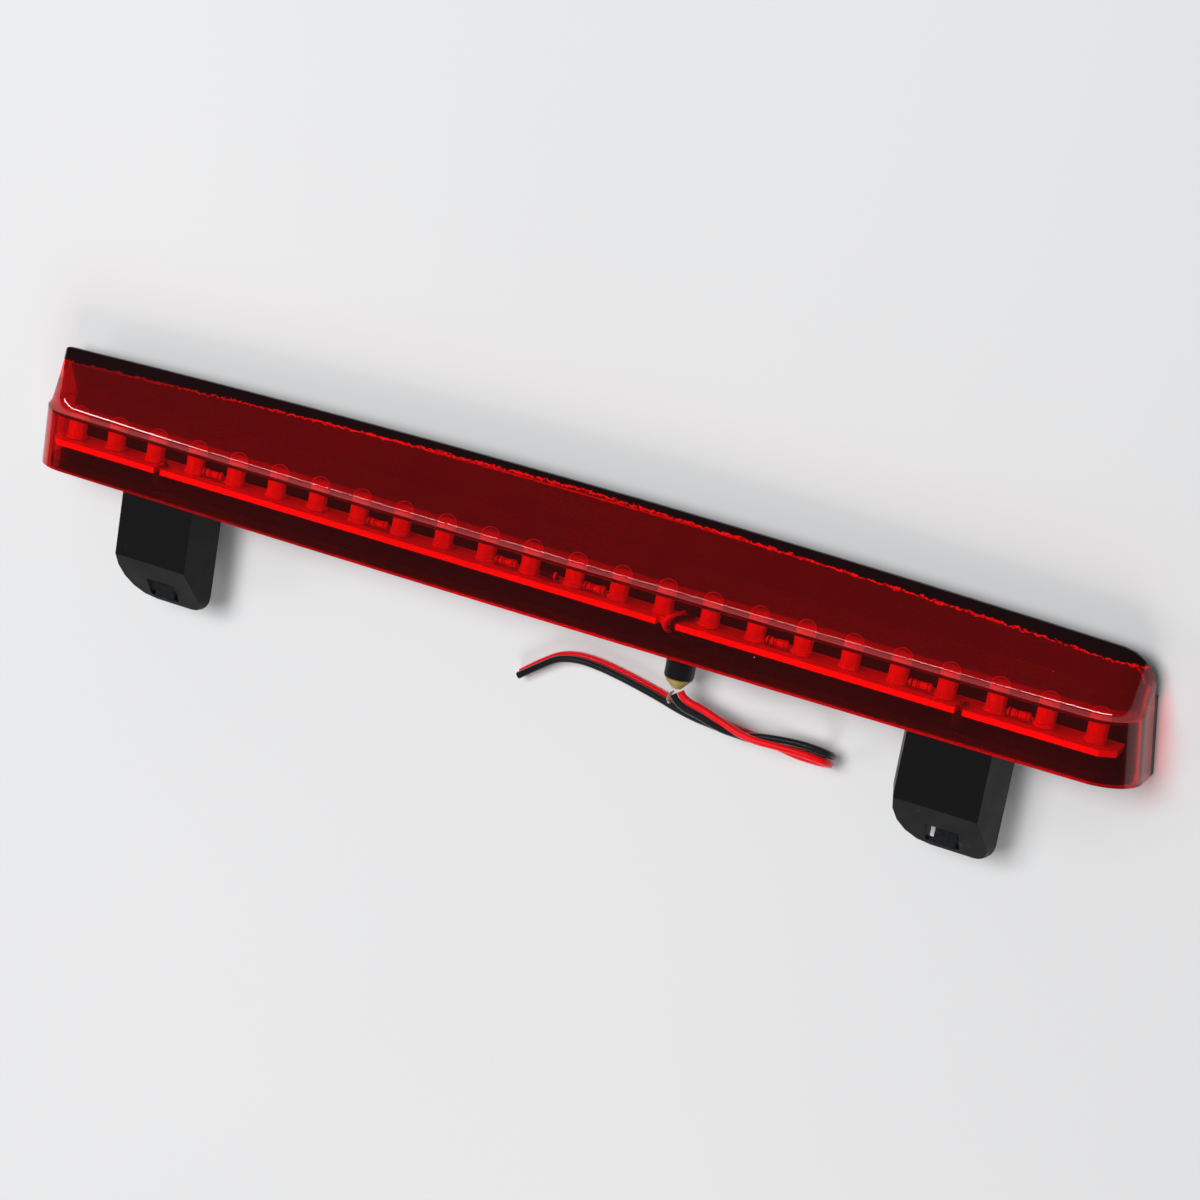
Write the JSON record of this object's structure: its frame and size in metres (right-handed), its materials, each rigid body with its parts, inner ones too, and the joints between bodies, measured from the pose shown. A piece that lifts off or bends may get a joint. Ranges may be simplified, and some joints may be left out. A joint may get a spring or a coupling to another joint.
{
  "type": "third brake light",
  "caption": "Third brake light with a red lens on a black housing, a strip of LEDs on a circuit board, two mounting legs and a short two-core lead.",
  "frame": {"origin": "under the middle of the lamp, without its lead, on the surface that its flat back wall lies on", "axes": "+X along the lamp, +Y the way the LEDs shine, from the legs to the lens's top edge, +Z away from the surface that it lies on"},
  "size_m": [0.3161, 0.0644, 0.024],
  "materials": {
    "red_acrylic": "polished transparent red",
    "black_abs": "satin moulded",
    "lens_cement": "hand laid bead",
    "board_laminate": "bare laminate with copper tracks",
    "led_epoxy": "clear red epoxy",
    "resistor_lacquer": "lacquered, with colour bands",
    "diode_epoxy": "moulded",
    "zinc_steel": "zinc plated",
    "black_steel": "black oxide",
    "black_rubber": "moulded",
    "hot_melt": "hot melt adhesive",
    "tinned_copper": "tinned",
    "red_sheath": "soft PVC",
    "black_sheath": "soft PVC"
  },
  "bodies": {
    "root": {"lens": "red_acrylic", "housing": "black_abs", "lens_cement": "lens_cement", "circuit_board": "board_laminate", "led_01": "led_epoxy", "led_02": "led_epoxy", "led_03": "led_epoxy", "led_04": "led_epoxy", "led_05": "led_epoxy", "led_06": "led_epoxy", "led_07": "led_epoxy", "led_08": "led_epoxy", "led_09": "led_epoxy", "led_10": "led_epoxy", "led_11": "led_epoxy", "led_12": "led_epoxy", "led_13": "led_epoxy", "led_14": "led_epoxy", "led_15": "led_epoxy", "led_16": "led_epoxy", "led_17": "led_epoxy", "led_18": "led_epoxy", "led_19": "led_epoxy", "led_20": "led_epoxy", "led_21": "led_epoxy", "led_22": "led_epoxy", "led_23": "led_epoxy", "led_24": "led_epoxy", "resistor_1": "resistor_lacquer", "resistor_2": "resistor_lacquer", "resistor_3": "resistor_lacquer", "resistor_4": "resistor_lacquer", "resistor_5": "resistor_lacquer", "resistor_6": "resistor_lacquer", "resistor_7": "resistor_lacquer", "diode": "diode_epoxy", "left_screw": "zinc_steel", "left_leg": "black_abs", "left_leg_nut": "black_steel", "right_screw": "zinc_steel", "right_leg": "black_abs", "right_leg_nut": "black_steel", "cable_grommet": "black_rubber", "cable_seal": "hot_melt", "tinned_strand": "tinned_copper", "inner_wire_red": "red_sheath", "inner_wire_black": "black_sheath", "lead_red": "red_sheath", "lead_black": "black_sheath"}
  },
  "joints": []
}
